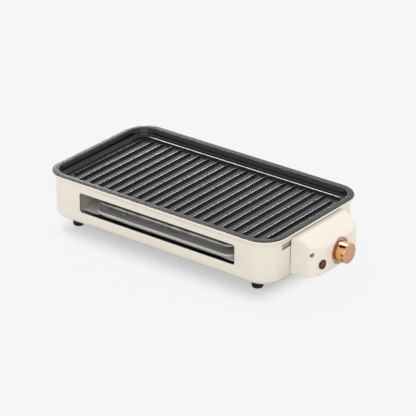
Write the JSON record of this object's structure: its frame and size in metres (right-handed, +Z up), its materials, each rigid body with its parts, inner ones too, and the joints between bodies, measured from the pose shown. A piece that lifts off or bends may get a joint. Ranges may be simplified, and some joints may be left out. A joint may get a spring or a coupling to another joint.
{
  "type": "electric indoor grill",
  "caption": "Table-top electric grill: long ribbed lift-out pan on a cream steel body, drip tray behind a front window, control box with knob and lamp on one end.",
  "frame": {"origin": "on the table, under the middle of the whole object's box", "axes": "+X towards the control box along the long side, -Y towards the front window, +Z up"},
  "size_m": [0.484, 0.2396, 0.0896],
  "materials": {
    "cream_steel": "warm cream stoved paint, satin",
    "cream_plastic": "warm cream moulding, satin gloss",
    "nonstick": "charcoal non-stick coating on cast aluminium",
    "bare_steel": "bare bright steel sheet",
    "element_steel": "heat-tinted steel sheath",
    "base_steel": "zinc-coated steel sheet",
    "black_rubber": "matt black",
    "gasket_rubber": "matt black",
    "black_plastic": "matt black moulding",
    "copper_finish": "polished copper-coloured plating",
    "copper_brushed": "spun copper-coloured disc",
    "sensor_copper": "bare copper",
    "brass": "bright brass",
    "ceramic": "unglazed white",
    "red_lens": "dark red lens",
    "wire_brown": "wire covering",
    "wire_blue": "wire covering",
    "wire_red": "wire covering",
    "wire_green": "wire covering"
  },
  "bodies": {
    "body": {"body_shell": "cream_steel", "base_plate": "base_steel", "base_screws": "bare_steel", "foot_front_left": "black_rubber", "foot_front_right": "black_rubber", "foot_rear_left": "black_rubber", "foot_rear_right": "black_rubber", "foot_screws": "bare_steel", "rail_left": "bare_steel", "rail_right": "bare_steel", "liner_left": "bare_steel", "liner_right": "bare_steel", "liner_back": "bare_steel", "end_brace": "bare_steel", "heater_tube": "element_steel", "heater_spacer_left": "bare_steel", "heater_spacer_right": "bare_steel", "heater_hangers": "bare_steel", "heater_plate": "bare_steel", "heater_bushes": "ceramic", "heater_terminals": "bare_steel", "control_housing": "cream_plastic", "housing_gasket": "gasket_rubber", "housing_screws": "bare_steel", "thermostat_body": "ceramic", "thermostat_nut": "brass", "capillary": "sensor_copper", "sensor_bulb": "sensor_copper", "sensor_clip": "bare_steel", "lamp_bezel": "black_plastic", "lamp_lens": "red_lens", "lamp_body": "black_plastic", "power_inlet": "black_plastic", "inlet_pins": "brass", "terminal_block": "ceramic", "thermal_fuse": "bare_steel", "lead_live": "wire_brown", "lead_neutral": "wire_blue", "lead_lamp": "wire_red", "lead_earth": "wire_green", "earth_screw": "brass"},
    "pan": {"grill_pan": "nonstick"},
    "tray": {"drip_tray": "bare_steel"},
    "knob": {"knob": "copper_finish", "knob_face": "copper_brushed", "knob_hub": "black_plastic", "thermostat_spindle": "bare_steel"}
  },
  "joints": [
    {"name": "knob_turn", "type": "hinge", "parent": "body", "child": "knob", "pos_m": [0.22535, 0.0063, 0.046], "axis": [-1, 0, 0], "range_deg": [0, 270]},
    {"name": "pan_lift", "type": "slide", "parent": "body", "child": "pan", "axis": [0, 0, 1], "range_m": [0, 0.12]},
    {"name": "tray_slide", "type": "slide", "parent": "body", "child": "tray", "axis": [0, -1, 0], "range_m": [0, 0.19]}
  ]
}
